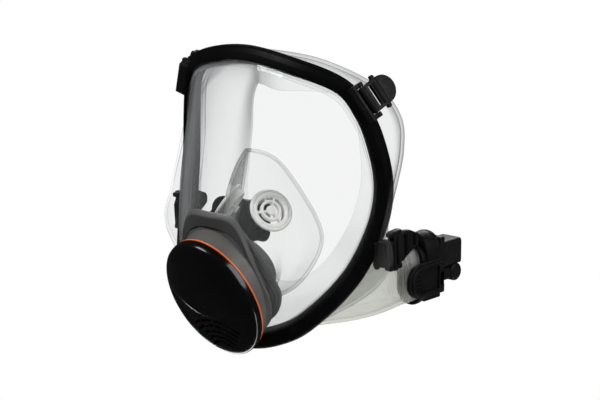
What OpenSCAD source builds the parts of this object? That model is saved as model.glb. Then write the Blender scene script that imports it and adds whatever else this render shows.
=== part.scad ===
// Full-face respirator: a clear wrap-round visor in a black frame, a silicone face seal,
// an oronasal cup with two inhalation valves, a front module with the exhalation valve,
// and two air ducts that end in quick connectors beside the jaw.
// The origin is the centre of the face opening. The visor faces -Y and the wearer's left is +X.

/* [Visor] */
// Height of the centre of the top edge above the origin
brow_z = 93; // [90:0.5:96]
// How far the top edge stands in front of the origin
brow_depth = 45; // [42:0.5:48]
// How far the nose of the visor stands in front of its top edge
nose_depth = 39; // [36:0.5:42]
// Thickness of the clear visor
visor_t = 2.2; // [1.8:0.1:2.4]
// Width of the black frame round the visor
frame_w = 11; // [10:0.5:12]

/* [Seal] */
// Wall of the silicone face seal
seal_t = 2.2; // [1.6:0.1:2.6]
// Wall of the silicone oronasal cup
cup_t = 2; // [1.6:0.1:2.4]

/* [Front module] */
// Half of the width of the oval front cover
cover_a = 35.5; // [35:0.5:36.5]
// Half of the height of the oval front cover
cover_b = 45; // [44:0.5:46]
// Height of the dome of the front cover
cover_rise = 9; // [7:0.5:11]
// Lean of the front module towards the chest, in degrees
lean = 26; // [24:1:28]

/* [Valves] */
// Radius of the flange of an inhalation valve seat
seat_r = 14.6; // [14:0.2:15]
// Radius of the exhalation valve disc
exhale_r = 17; // [16:0.5:17.5]

/* [Air ducts] */
// Half of the height of an air duct
duct_h = 18; // [17:0.5:19]
// Half of the width of an air duct
duct_w = 8.5; // [8:0.5:9]
// Wall of an air duct
duct_t = 1.8; // [1.4:0.1:2.2]

/* [Strap fittings] */
// Width of the strap slots of the buckles
strap_slot = 15; // [13:0.5:16]
// Radius of the hinge pins of the buckles
pin_r = 1; // [0.8:0.1:1.1]

/* [Hidden] */
$fn = 48;

gap = 0.3;
ring_steps = 80;

// The visor is a wrap-round surface: its nose line is two quarter waves, and across the face it
// curls back with the square of the distance from the middle.
nose_z = -23;
chin_run = 82;
curl_z = -17;
curl = 0.0099;
curl_up = 3.7e-7;
curl_down = 8e-7;
function nose_line(z) = z > nose_z
    ? -nose_depth * sin(90 * (brow_z + 2 - z) / (brow_z + 2 - nose_z))
    : -nose_depth * cos(90 * (nose_z - z) / chin_run);
function curl_at(z) = curl - (z > curl_z ? curl_up : curl_down) * (z - curl_z) * (z - curl_z);
function visor_y(x, z) = nose_line(z) - brow_depth + curl_at(z) * x * x;
function visor_point(q) = [q[0], visor_y(q[0], q[1]), q[1]];
function unit(v) = v / norm(v);
// Unit normal of the visor, pointing away from the face
function visor_normal(q) = let (d = 0.5)
    unit([visor_y(q[0] + d, q[1]) - visor_y(q[0] - d, q[1]), -2 * d,
          visor_y(q[0], q[1] + d) - visor_y(q[0], q[1] - d)]);

// A half outline runs from the top centre down the +X side to the bottom centre.
function both_sides(half) = concat(half, [for (i = [len(half) - 2 : -1 : 1])
    len(half[i]) == 2 ? [-half[i][0], half[i][1]] : [-half[i][0], half[i][1], half[i][2]]]);
function curve(a, b, c, d, t) = 0.5 * (2 * b + (c - a) * t + (2 * a - 5 * b + 4 * c - d) * t * t
    + (3 * b - a - 3 * c + d) * t * t * t);
function closed_point(p, s) = let (n = len(p), i = floor(s), t = s - i)
    curve(p[(i + n - 1) % n], p[i % n], p[(i + 1) % n], p[(i + 2) % n], t);
function closed_loop(half, steps = ring_steps) = let (p = both_sides(half))
    [for (i = [0 : steps - 1]) closed_point(p, i * len(p) / steps)];
function open_point(p, s) = let (n = len(p) - 1, i = min(floor(s), n - 1), t = s - i)
    curve(p[max(i - 1, 0)], p[i], p[i + 1], p[min(i + 2, n)], t);

// Centre line of the frame, in the front view
rim_half = [[0, brow_z], [34, 88], [62, 77], [75, 58], [82, 34], [85, 8], [82.5, -19], [74, -47],
    [58, -70], [36, -87], [0, -97]];
// Edge of the front housing on the visor, in the front view
hood_half = [[0, -5], [12, -5], [19, -8], [24.5, -17], [30, -34], [33.5, -50], [34.5, -62],
    [31, -75], [23, -84], [12, -89], [0, -91]];
// Outer edge of the locking ring behind the visor, in the front view
lock_half = [[0, -11], [10, -11], [17, -13], [25, -21], [33, -36], [38.5, -52], [39.5, -62], [35, -73],
    [25, -82], [12, -87.5], [0, -89]];
function toward(q, c, k) = c + (q - c) * k;
hood_mid = [0, -48];
rim = closed_loop(rim_half);
hood = closed_loop(hood_half);
port_hole = [for (q = hood) toward(q, hood_mid, 0.86)];

// Frame that travels along an outline on the visor: [place, inward along the visor, outward normal]
function traveller(outline, i) = let (n = len(outline), q = outline[i],
        ahead = visor_point(outline[(i + 1) % n]), behind = visor_point(outline[(i + n - 1) % n]),
        nrm = visor_normal(q), along = unit(ahead - behind))
    [visor_point(q), cross(along, nrm), nrm];
function travel(outline) = [for (i = [0 : len(outline) - 1]) traveller(outline, i)];
// Ring of points at a steady inward distance a and a steady outward distance b
function offset_ring(stations, a, b) = [for (s = stations) s[0] + s[1] * a + s[2] * b];

// Closed ring of surface: each loop joins the next, and the last joins the first
module ring_loft(loops) {
    m = len(loops);
    n = len(loops[0]);
    points = [for (l = loops) for (p = l) p];
    polyhedron(points, [for (j = [0 : m - 1]) for (i = [0 : n - 1])
        let (a = j * n + i, b = j * n + (i + 1) % n, c = ((j + 1) % m) * n + (i + 1) % n,
             d = ((j + 1) % m) * n + i)
        each [[a, b, c], [a, c, d]]]);
}
// Closed skin through loops, with a point cap on the first and the last
module cap_loft(loops) {
    m = len(loops);
    n = len(loops[0]);
    points = concat([for (l = loops) for (p = l) p],
        [middle(loops[0]), middle(loops[m - 1])]);
    polyhedron(points, concat(
        [for (j = [0 : m - 2]) for (i = [0 : n - 1])
            let (a = j * n + i, b = j * n + (i + 1) % n, c = (j + 1) * n + (i + 1) % n, d = (j + 1) * n + i)
            each [[a, b, c], [a, c, d]]],
        [for (i = [0 : n - 1]) [i, m * n, (i + 1) % n]],
        [for (i = [0 : n - 1]) let (o = (m - 1) * n) [o + i, o + (i + 1) % n, m * n + 1]]));
}
function middle(loop) = [for (k = [0 : 2]) sum([for (p = loop) p[k]]) / len(loop)];
function sum(v, i = 0) = i < len(v) ? v[i] + sum(v, i + 1) : 0;

// A thin wall behind a grid of loops. The wall grows against the grid's own normals, towards the face.
function grid_normal(g, j, i) = let (m = len(g), n = len(g[0]),
        across = g[j][(i + 1) % n] - g[j][(i + n - 1) % n],
        down = g[min(j + 1, m - 1)][i] - g[max(j - 1, 0)][i])
    unit(cross(across, down));
function backed(g, t) = [for (j = [len(g) - 1 : -1 : 0]) [for (i = [0 : len(g[0]) - 1])
    g[j][i] - grid_normal(g, j, i) * t]];
module wall(g, t) { ring_loft(concat(g, backed(g, t))); }

// Left pieces are on +X, and right pieces are their mirror image.
module mirrored() { mirror([1, 0, 0]) children(); }

// ---- Visor ----
lens_rings = 7;
module visor_lens() {
    front = [for (j = [0 : lens_rings]) [for (i = [0 : ring_steps - 1])
        visor_point(port_hole[i] + (rim[i] - port_hole[i]) * j / lens_rings)]];
    back = [for (j = [lens_rings : -1 : 0]) [for (i = [0 : ring_steps - 1])
        let (q = port_hole[i] + (rim[i] - port_hole[i]) * j / lens_rings)
        visor_point(q) - visor_normal(q) * visor_t]];
    color("white", 0.3) ring_loft(concat(front, back));
}

// Section of the frame: inward distance and outward distance from the edge of the visor
frame_front = 4.2;
frame_back = 7;
slot_floor = -0.4;
frame_section = [[frame_w / 2 - 1, frame_front - 0.6], [1, frame_front], [2 - frame_w / 2, frame_front - 0.4],
    [-frame_w / 2, frame_front - 2], [-frame_w / 2, 1 - frame_back], [1 - frame_w / 2, -frame_back],
    [-3.4, -frame_back], [-3.4, -3.6], [-0.8, -3.6], [-0.8, -frame_back],
    [frame_w / 2 - 1, -frame_back], [frame_w / 2, 1 - frame_back],
    [frame_w / 2, -visor_t - gap], [slot_floor, -visor_t - gap], [slot_floor, gap], [frame_w / 2, gap],
    [frame_w / 2, frame_front - 1.6]];
module visor_frame() {
    stations = travel(rim);
    color([0.05, 0.05, 0.05]) ring_loft([for (k = frame_section) offset_ring(stations, k[0], k[1])]);
}

// ---- Face seal ----
// Half loops from the frame to the lip: crest, rear fold, lip
seal_crest = [[0, -34, 95], [34, -16, 89.5], [64, 5, 73], [85, 4, 55], [93, -4, 34], [94, -13, 8],
    [94.5, -20, -14], [99, -21, -36], [80, -24, -60], [42, -37, -82], [0, -39, -89]];
seal_fold = [[0, -15, 87], [29, -2, 83], [52, 17, 67], [65, 23, 50], [71, 22, 30], [72, 16, 8],
    [71, 5, -13], [69, -6, -34], [54, -8, -54], [30, -15, -69], [0, -18, -76]];
seal_lip = [[0, -14, 65], [22, -7, 66], [36, 5, 62], [44, 10, 50], [47, 12, 28], [49, 11, 7],
    [47, 7, -12], [40, 2, -32], [29, -3, -49], [16, -8, -61], [0, -10, -66]];
seal_rows = 11;
module face_seal() {
    root = offset_ring(travel(rim), -2.1, -4.2);
    collar = offset_ring(travel(rim), -2.1, -frame_back - 1.5);
    rows = [root, collar, closed_loop(seal_crest), closed_loop(seal_fold), closed_loop(seal_lip)];
    grid = [for (k = [0 : seal_rows]) [for (i = [0 : ring_steps - 1])
        let (column = [for (r = rows) r[i]]) open_point(column, k * (len(rows) - 1) / seal_rows)]];
    color([0.85, 0.87, 0.86], 0.5) wall(grid, seal_t);
}

// ---- Front module ----
// It has its own axes: x across, y up the cover, z out of the cover. z is 0 at the cover's rim.
cover_at = [0, -80.6, -62.8];
module on_module() { translate(cover_at) rotate([90 + lean, 0, 0]) children(); }
function from_module(p) = cover_at + [p[0], -p[1] * sin(lean) - p[2] * cos(lean),
    p[1] * cos(lean) - p[2] * sin(lean)];
// Oval loop that starts at the top and runs the same way as the outlines on the visor
function oval(a, b, z, steps = ring_steps) = [for (i = [0 : steps - 1])
    [a * sin(360 * i / steps), b * cos(360 * i / steps), z]];
function placed(loop) = [for (p = loop) from_module(p)];
module oval_ring(a, b, wall_t, z0, z1) {
    translate([0, 0, z0]) linear_extrude(z1 - z0) difference() {
        polygon([for (p = oval(a, b, 0)) [p[0], p[1]]]);
        polygon([for (p = oval(a - wall_t, b - wall_t, 0)) [p[0], p[1]]]);
    }
}

// The mouth of the housing is tilted: deep at the top, shallow at the bottom
mouth_z = -11.75;
mouth_swing = 5.25;
function mouth_loop(inset, lift = 0) = placed([for (i = [0 : ring_steps - 1]) let (t = 360 * i / ring_steps)
    [(cover_a - inset) * sin(t), (cover_b - inset) * cos(t), mouth_z - mouth_swing * cos(t) + lift]]);
// 1 at the top of a loop and 0 at its bottom
function upper_share(i) = 0.5 + 0.5 * cos(360 * i / ring_steps);
module front_housing() {
    stations = travel(hood);
    foot = offset_ring(stations, 0, gap);
    shoulder = [for (i = [0 : ring_steps - 1]) let (s = stations[i], w = upper_share(i))
        s[0] + s[1] * 2 * w + s[2] * (1 + 3.2 * w)];
    mouth = mouth_loop(2.6);
    mouth_in = mouth_loop(5.2);
    shoulder_in = [for (i = [0 : ring_steps - 1]) let (s = stations[i], w = upper_share(i))
        s[0] + s[1] * (5 - w) + s[2] * (3.4 - 1.8 * w)];
    foot_in = offset_ring(stations, 4, gap);
    color([0.3, 0.3, 0.3]) ring_loft([foot, shoulder, mouth, mouth_in, shoulder_in, foot_in]);
}
collar_front = -4.8;
module housing_collar() {
    color([0.45, 0.44, 0.42]) ring_loft([mouth_loop(1.6, gap),
        placed(oval(cover_a - 1.6, cover_b - 1.6, collar_front)),
        placed(oval(cover_a - 4.6, cover_b - 4.6, collar_front)), mouth_loop(4.6, gap)]);
}
module accent_ring() {
    on_module() color([0.85, 0.35, 0.15])
        oval_ring(cover_a - 0.4, cover_b - 0.4, 2.5, collar_front + gap, -3.3);
}

cover_t = 2.2;
slot_w = 2;
slot_pitch = 4.6;
slot_centre_y = -41;
function dome(a, b, rise, base) = [for (s = [[1, -0.33], [1, 0.1], [0.965, 0.34], [0.88, 0.58], [0.7, 0.82],
    [0.4, 0.96]]) [for (p = oval(a * s[0], b * s[0], base + rise * s[1], 64)) p]];
module front_cover() {
    on_module() color([0.04, 0.04, 0.04]) difference() {
        cap_loft(dome(cover_a, cover_b, cover_rise, 0));
        cap_loft(dome(cover_a - cover_t, cover_b - cover_t, cover_rise - 1, -1.2));
        for (k = [2 : 6]) translate([0, slot_centre_y, 0])
            rotate([0, 0, 42]) rotate_extrude(angle = 96, $fn = 48)
                translate([k * slot_pitch, 2]) square([slot_w, 20]);
    }
}
module lens_gasket() {
    stations = travel(port_hole);
    color([0.2, 0.2, 0.2]) ring_loft([for (k = [[-3, -visor_t - 1.6], [1.6, -visor_t - 1.6], [1.6, 0.8],
        [-0.2, 0.8], [-0.2, -visor_t - gap], [-3, -visor_t - gap]]) offset_ring(stations, k[0], k[1])]);
}
module inner_lock_ring() {
    stations = travel(closed_loop(lock_half));
    behind = -visor_t - 2.2;
    color([0.35, 0.35, 0.35]) ring_loft([for (k = [[0, behind - 4], [7, behind - 4], [7, behind],
        [0, behind]]) offset_ring(stations, k[0], k[1])]);
}
port_r = 21;
port_back = -40;
port_front = -22;
module exhalation_port() {
    on_module() color([0.25, 0.25, 0.25]) rotate_extrude() polygon([[port_r - 2, port_back],
        [port_r, port_back], [port_r, port_front - 3], [port_r + 6, port_front - 3],
        [port_r + 6, port_front], [port_r - 2, port_front]]);
}
screw_ring_r = 24;
module port_screws() {
    on_module() color("silver") for (k = [0 : 3]) rotate([0, 0, 45 + 90 * k])
        translate([screw_ring_r, 0, port_front + gap]) cylinder(h = 1.6, r = 2.2, $fn = 24);
}
module exhalation_valve_seat() {
    on_module() color([0.75, 0.75, 0.75]) {
        rotate_extrude() polygon([[exhale_r - 2.4, -33], [port_r - 2.1, -33], [port_r - 2.1, -30],
            [exhale_r + 0.4, -30], [exhale_r + 0.4, -31.4], [exhale_r - 2.4, -31.4]]);
        for (k = [0 : 2]) rotate([0, 0, 90 + 120 * k]) translate([3, -1, -33]) cube([exhale_r - 4.5, 2, 1.5]);
        translate([0, 0, -33]) cylinder(h = 1.5, r = 4);
        translate([0, 0, -33]) cylinder(h = 6, r = 1.4);
    }
}
module exhalation_valve_disc() {
    on_module() color([0.9, 0.9, 0.88]) translate([0, 0, -31.1]) difference() {
        cylinder(h = 1, r = exhale_r - 0.5);
        translate([0, 0, -1]) cylinder(h = 3, r = 1.45);
    }
}

// ---- Oronasal cup and inhalation valves ----
cup_lip = [[0, -43, 29], [8, -38, 27], [15, -31, 20], [25, -23, 2], [34, -17, -17], [38, -17, -31],
    [34, -22, -47], [22, -28, -63], [0, -32, -72]];
cup_cheek = [[0, -50, 20], [7, -47, 19], [14, -43, 11], [23, -36, -4], [30, -31, -20], [33, -31, -32],
    [30, -33, -46], [19, -35, -60], [0, -37, -70]];
cup_front = [[0, -57, 4], [6, -55, 3], [12, -52, -1], [19, -47, -11], [24, -43, -23], [26, -41, -34],
    [24, -40, -46], [16, -39, -58], [0, -38, -68]];
cup_steps = 64;
cup_rows = 9;
seat_at = [17.5, -45, -9];
seat_tip = 56.1;
seat_turn = -22.7;
// Valve seat axes: z runs out of the cup, up and away from the middle of the face
module on_seat() { translate(seat_at) rotate([0, 0, seat_turn]) rotate([0, seat_tip, 0]) children(); }
module oronasal_cup() {
    rows = [closed_loop(cup_lip, cup_steps), closed_loop(cup_cheek, cup_steps),
        closed_loop(cup_front, cup_steps),
        placed(oval(port_r + 2.4, port_r + 2.4, port_back + 6, cup_steps)),
        placed(oval(port_r + 2.4, port_r + 2.4, port_back + 13, cup_steps))];
    grid = [for (k = [0 : cup_rows]) [for (i = [0 : cup_steps - 1])
        let (column = [for (r = rows) r[i]]) open_point(column, k * (len(rows) - 1) / cup_rows)]];
    color([0.92, 0.94, 0.93], 0.5) difference() {
        wall(grid, cup_t);
        for (side = [0, 1]) mirror([side, 0, 0]) on_seat()
            translate([0, 0, -12]) cylinder(h = 24, r = seat_r - 2.8, $fn = 40);
    }
}
module inhalation_valve_seat() {
    on_seat() color([0.95, 0.95, 0.93]) {
        rotate_extrude() polygon([[9.5, -3.5], [seat_r - 3, -3.5], [seat_r - 3, 1.2], [seat_r, 1.2],
            [seat_r, 2.6], [seat_r - 1, 3.2], [11, 3.2], [9.5, 1.5]]);
        rotate_extrude() polygon([[5, 0], [7, 0], [7, 3], [5, 3]]);
        for (k = [0 : 2]) rotate([0, 0, 30 + 120 * k]) translate([1, -0.9, 0]) cube([9.5, 1.8, 1.6]);
        translate([0, 0, -5.5]) cylinder(h = 7, r = 1.5);
        translate([0, 0, -6.5]) cylinder(h = 1, r = 2.6);
    }
}
module inhalation_valve_disc() {
    on_seat() color([0.9, 0.9, 0.88]) translate([0, 0, -1.3]) difference() {
        cylinder(h = 0.9, r = 9);
        translate([0, 0, -1]) cylinder(h = 3, r = 1.56);
    }
}
module inhalation_valve_seat_left() { inhalation_valve_seat(); }
module inhalation_valve_seat_right() { mirrored() inhalation_valve_seat(); }
module inhalation_valve_disc_left() { inhalation_valve_disc(); }
module inhalation_valve_disc_right() { mirrored() inhalation_valve_disc(); }

// ---- Air ducts and quick connectors, at the wearer's left ----
duct_route = [[59.5, -23, -59], [67.5, -12, -57.5], [75.5, -1, -55.5], [81, 10.5, -53.5], [84, 22, -52.5]];
duct_steps = 24;
// At its root the duct runs along the back of the frame, and from there it turns upright
root_lean = [0.46, 0.31, 0.83];
root_h = 28;
root_w = 5;
duct_rows = 12;
function upright(along) = cross(unit(cross(along, [0, 0, 1])), along);
function duct_ring(k, w, h) = let (s = k * (len(duct_route) - 1) / duct_rows,
        c = open_point(duct_route, s), ahead = open_point(duct_route, min(s + 0.1, len(duct_route) - 1)),
        behind = open_point(duct_route, max(s - 0.1, 0)), along = unit(ahead - behind),
        turned = min(1, 1.5 * k / duct_rows), up = unit(root_lean + (upright(along) - root_lean) * turned),
        side = unit(cross(along, up)), deep = h + (root_h - duct_h) * (1 - turned),
        wide = w + (root_w - duct_w) * (1 - turned))
    [for (i = [0 : duct_steps - 1]) let (t = 360 * i / duct_steps)
        c + side * (wide * sign(sin(t)) * pow(abs(sin(t)), 0.8))
          + up * (deep * sign(cos(t)) * pow(abs(cos(t)), 0.8))];
module air_duct() {
    color([0.8, 0.82, 0.78], 0.7) ring_loft(concat(
        [for (k = [0 : duct_rows]) duct_ring(k, duct_w, duct_h)],
        [for (k = [duct_rows : -1 : 0]) duct_ring(k, duct_w - duct_t, duct_h - duct_t)]));
}
module air_duct_left() { air_duct(); }
module air_duct_right() { mirrored() air_duct(); }

connector_x = 84;
connector_y = 22;
connector_z = -52.5;
// Pieces of the connector stand on the end of the duct: -x outward, y up, z back along the duct.
module on_connector() { translate([connector_x, connector_y, connector_z]) rotate([90, 0, 180]) children(); }
// Upright slot shape with round ends
module stadium(w, h) {
    square([2 * w, 2 * (h - w)], center = true);
    for (s = [-1, 1]) translate([0, s * (h - w)]) circle(r = w);
}
module stadium_tube(w, h, t, length) {
    linear_extrude(length) difference() { stadium(w, h); stadium(w - t, h - t); }
}
module duct_cuff() {
    on_connector() color([0.08, 0.08, 0.08]) translate([0, 0, -4]) stadium_tube(10.8, 20.6, 2, 3.7);
}
body_w = 10.8;
body_h = 23;
body_rise = 4;
body_run = 15;
end_plate_t = 5;
knob_r = 6.1;
knob_at = [-4.1, 34.4];
sleeve_w = 17.2;
sleeve_h = 17.5;
sleeve_t = 2.4;
sleeve_y = 9.25;
module connector_body() {
    on_connector() color([0.07, 0.07, 0.07]) {
        translate([0, body_rise, 0]) stadium_tube(body_w, body_h, 2.4, body_run);
        translate([0, 0, body_run]) difference() {
            translate([-body_w, -14, 0]) cube([2 * body_w, 37, end_plate_t]);
            translate([0, sleeve_y, -1]) linear_extrude(end_plate_t + 2)
                square([sleeve_w + 0.4, sleeve_h + 0.4], center = true);
        }
        translate([-8, -8.4, body_run + end_plate_t - 1])
            cube([16, 7.9, knob_at[1] - body_run - end_plate_t + 1]);
        translate([-10, knob_at[0], knob_at[1]]) rotate([0, 90, 0]) cylinder(h = 20, r = knob_r);
        translate([-8, -18.6, 2]) cube([16, 6, 17.5]);
    }
}
module outlet_sleeve() {
    on_connector() color([0.08, 0.08, 0.08]) translate([0, sleeve_y, 11]) linear_extrude(31) difference() {
        square([sleeve_w, sleeve_h], center = true);
        square([sleeve_w - 2 * sleeve_t, sleeve_h - 2 * sleeve_t], center = true);
    }
}
// Soft ring inside the mouth of the sleeve
module sleeve_oring() {
    on_connector() color([0.15, 0.15, 0.15]) translate([0, sleeve_y, 37]) linear_extrude(2) difference() {
        square([sleeve_w - 2 * sleeve_t + 0.6, sleeve_h - 2 * sleeve_t + 0.6], center = true);
        square([sleeve_w - 2 * sleeve_t - 1.8, sleeve_h - 2 * sleeve_t - 1.8], center = true);
    }
}
// D-shaped thumb paddle on the outer side. It slides inward on the spring post.
paddle_r = 11.5;
paddle_run = 22;
paddle_t = 3.4;
paddle_off = 2.6;
paddle_y = -0.4;
post_z = 4;
post_r = 2.55;
post_reach = 0.8;
module release_button() {
    on_connector() color([0.06, 0.06, 0.06]) translate([-body_w - paddle_off, paddle_y, 0])
        rotate([0, -90, 0]) difference() {
            union() {
                linear_extrude(paddle_t) {
                    translate([-14, 0]) circle(r = paddle_r);
                    translate([-14, -paddle_r]) square([paddle_run, 2 * paddle_r]);
                }
                for (k = [-2 : 2]) translate([-20, k * 3.8 - 0.7, 2.8]) cube([24, 1.4, 1.6]);
            }
            translate([post_z, 0, -1]) cylinder(h = 3.6, r = post_r + 0.07);
        }
}
module button_spring_post() {
    on_connector() color("silver") translate([-body_w + 0.2, paddle_y, post_z]) rotate([0, -90, 0])
        cylinder(h = paddle_off + post_reach + 0.2, r = post_r);
}
module duct_cuff_left() { duct_cuff(); }
module duct_cuff_right() { mirrored() duct_cuff(); }
module connector_body_left() { connector_body(); }
module connector_body_right() { mirrored() connector_body(); }
module outlet_sleeve_left() { outlet_sleeve(); }
module outlet_sleeve_right() { mirrored() outlet_sleeve(); }
module sleeve_oring_left() { sleeve_oring(); }
module sleeve_oring_right() { mirrored() sleeve_oring(); }
module release_button_left() { release_button(); }
module release_button_right() { mirrored() release_button(); }
module button_spring_post_left() { button_spring_post(); }
module button_spring_post_right() { mirrored() button_spring_post(); }

// ---- Strap fittings ----
// Axes of a fitting: x along the strap, y along the hinge pin, z away from the face
upper_at = [80, -21, 68.5];
upper_turn = [65.9, -24.1, 83.15];
module on_upper() { translate(upper_at) rotate(upper_turn) children(); }
lower_at = [92.3, -6, -29];
lower_turn = [90, -4, 90];
module on_lower() { translate(lower_at) rotate(lower_turn) children(); }
barrel_r = 2.2;
ear_t = 3;
// Two ears that stand on a foot. The foot reaches down to the frame by drop.
module hinge_lug(width, drop) {
    difference() {
        for (s = [-1, 1]) translate([0, s * (width + ear_t) / 2, 0]) rotate([90, 0, 0])
            translate([0, 0, -ear_t / 2]) {
                cylinder(h = ear_t, r = barrel_r);
                translate([-2 * barrel_r, -drop, 0]) cube([2 * barrel_r, drop + 1, ear_t]);
            }
        rotate([90, 0, 0]) cylinder(h = width * 2, r = pin_r + 0.02, center = true);
    }
    translate([-2 * barrel_r - 2, -width / 2 - ear_t, -drop]) cube([2.4, width + 2 * ear_t, drop + 1]);
}
module hinge_pin(width) { rotate([90, 0, 0]) cylinder(h = width + 2 * ear_t, r = pin_r, center = true); }
// Plate with round corners that starts at x = 0
module rounded_plate(x, y, r, t) {
    linear_extrude(t) {
        translate([r, -y / 2]) square([x - 2 * r, y]);
        translate([0, -y / 2 + r]) square([x, y - 2 * r]);
        for (a = [r, x - r]) for (b = [-1, 1]) translate([a, b * (y / 2 - r)]) circle(r = r);
    }
}
upper_w = 19;
lower_w = 19;
module upper_lug() { on_upper() color([0.08, 0.08, 0.08]) hinge_lug(upper_w + 2 * gap, 6); }
module upper_pin() { on_upper() color("silver") hinge_pin(upper_w + 2 * gap); }
module buckle_barrel(width) { rotate([90, 0, 0]) cylinder(h = width, r = barrel_r, center = true); }
module pin_hole() { rotate([90, 0, 0]) cylinder(h = 40, r = pin_r + 0.05, center = true); }
module upper_buckle() {
    on_upper() color([0.1, 0.1, 0.1]) difference() {
        union() {
            buckle_barrel(upper_w);
            translate([0, 0, -1.5]) rounded_plate(12, upper_w, 0.8, 3);
            translate([8.5, 0, -1.5]) rounded_plate(4, 24, 1.9, 3);
            translate([12, -8, -0.8]) cube([3, 16, 2]);
            translate([13, 0, -0.8]) linear_extrude(2.6) intersection() {
                circle(r = 9.5);
                translate([0, -10]) square([20, 20]);
            }
        }
        translate([3.6, -strap_slot / 2, -3]) cube([4.2, strap_slot, 6]);
        pin_hole();
    }
}
// The lower fitting hangs on an arm that runs from the side of the frame out and back to the pin
arm_bottom = -11;
arm_top = 7.2;
arm_section = [[-14, -10], [-9.5, 2.6], [-3, 2.6], [-3, -2.6], [-6, -4], [-9, -10]];
ear_section = [[-11, -1], [-11, 2.6], [0, 2.6], [0, -2.6], [-6, -2.6]];
// Block between the heights low and high, on an outline across the pin
module across_pin(low, high, outline) {
    rotate([90, 0, 0]) translate([0, 0, -high]) linear_extrude(high - low) polygon(outline);
}
module lower_lug() {
    on_lower() color([0.08, 0.08, 0.08]) difference() {
        union() {
            across_pin(arm_bottom, arm_top, arm_section);
            across_pin(-lower_w / 2 - gap - ear_t, lower_w / 2 + gap + ear_t,
                [[-7, -2.6], [-7, 2.6], [-3, 2.6], [-3, -2.6]]);
            for (s = [-1, 1]) {
                across_pin(s * (lower_w + 2 * gap + ear_t) / 2 - ear_t / 2,
                    s * (lower_w + 2 * gap + ear_t) / 2 + ear_t / 2, ear_section);
                translate([0, s * (lower_w + 2 * gap + ear_t) / 2, 0]) rotate([90, 0, 0])
                    cylinder(h = ear_t, r = 2.6, center = true);
            }
        }
        rotate([90, 0, 0]) cylinder(h = 40, r = pin_r + 0.02, center = true);
    }
}
module lower_pin() { on_lower() color("silver") hinge_pin(lower_w + 2 * gap); }
// Outline of the lower buckle: broad beside the pin, then tapered to a thumb tab
lower_plate = [[0, -9.5], [0, 9.5], [3.2, 9.5], [3.2, 11], [5, 11], [11.8, 9.6], [18.8, 6], [19.8, 3.6],
    [19.4, -0.6], [15.8, -3.2], [6, -7.6], [3.2, -9.5]];
module lower_buckle() {
    on_lower() color([0.1, 0.1, 0.1]) difference() {
        union() {
            buckle_barrel(lower_w);
            translate([0, 0, -2]) linear_extrude(4) polygon(lower_plate);
            translate([14.5, -1.5, -2]) linear_extrude(6) square([3, 9]);
        }
        translate([4.4, -5.6, -4]) cube([2.8, strap_slot, 10]);
        pin_hole();
    }
}
module upper_lug_left() { upper_lug(); }
module upper_lug_right() { mirrored() upper_lug(); }
module upper_pin_left() { upper_pin(); }
module upper_pin_right() { mirrored() upper_pin(); }
module upper_buckle_left() { upper_buckle(); }
module upper_buckle_right() { mirrored() upper_buckle(); }
module lower_lug_left() { lower_lug(); }
module lower_lug_right() { mirrored() lower_lug(); }
module lower_pin_left() { lower_pin(); }
module lower_pin_right() { mirrored() lower_pin(); }
module lower_buckle_left() { lower_buckle(); }
module lower_buckle_right() { mirrored() lower_buckle(); }

visor_lens();
visor_frame();
face_seal();
oronasal_cup();
air_duct_left();
air_duct_right();
duct_cuff_left();
duct_cuff_right();
connector_body_left();
connector_body_right();
outlet_sleeve_left();
outlet_sleeve_right();
sleeve_oring_left();
sleeve_oring_right();
release_button_left();
release_button_right();
button_spring_post_left();
button_spring_post_right();
upper_lug_left();
upper_lug_right();
upper_pin_left();
upper_pin_right();
upper_buckle_left();
upper_buckle_right();
lower_lug_left();
lower_lug_right();
lower_pin_left();
lower_pin_right();
lower_buckle_left();
lower_buckle_right();
front_housing();
lens_gasket();
inner_lock_ring();
exhalation_port();
port_screws();
housing_collar();
accent_ring();
front_cover();
exhalation_valve_seat();
exhalation_valve_disc();
inhalation_valve_seat_left();
inhalation_valve_seat_right();
inhalation_valve_disc_left();
inhalation_valve_disc_right();
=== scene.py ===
import bmesh
import bpy
import math
import numpy as np
from mathutils import Matrix, Vector


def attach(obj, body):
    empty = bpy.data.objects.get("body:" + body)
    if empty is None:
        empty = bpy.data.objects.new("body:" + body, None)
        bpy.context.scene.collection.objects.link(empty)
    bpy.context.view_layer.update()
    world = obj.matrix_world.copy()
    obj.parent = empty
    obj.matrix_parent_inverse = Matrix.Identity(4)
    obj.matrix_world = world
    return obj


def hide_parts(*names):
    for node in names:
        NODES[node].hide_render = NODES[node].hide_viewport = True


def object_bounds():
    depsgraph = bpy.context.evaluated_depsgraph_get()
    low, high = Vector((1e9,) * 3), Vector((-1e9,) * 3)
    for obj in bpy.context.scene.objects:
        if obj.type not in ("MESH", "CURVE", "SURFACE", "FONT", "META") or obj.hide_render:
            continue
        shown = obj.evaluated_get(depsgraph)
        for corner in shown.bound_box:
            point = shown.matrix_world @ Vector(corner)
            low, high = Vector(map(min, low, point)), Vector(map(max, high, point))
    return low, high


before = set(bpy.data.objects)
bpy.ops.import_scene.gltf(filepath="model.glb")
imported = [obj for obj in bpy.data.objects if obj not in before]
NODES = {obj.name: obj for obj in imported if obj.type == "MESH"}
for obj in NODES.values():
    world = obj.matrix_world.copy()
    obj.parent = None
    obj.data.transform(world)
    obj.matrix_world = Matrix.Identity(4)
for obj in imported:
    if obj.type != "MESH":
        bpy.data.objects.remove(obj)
CAD_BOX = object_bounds()
SIDES = ("left", "right")
TAU = 2 * math.pi

# ------------------------------------------------------------------ materials


def node(tree, kind, **inputs):
    n = tree.nodes.new(kind)
    for key, value in inputs.items():
        n.inputs[key.replace("_", " ")].default_value = value
    return n


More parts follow.
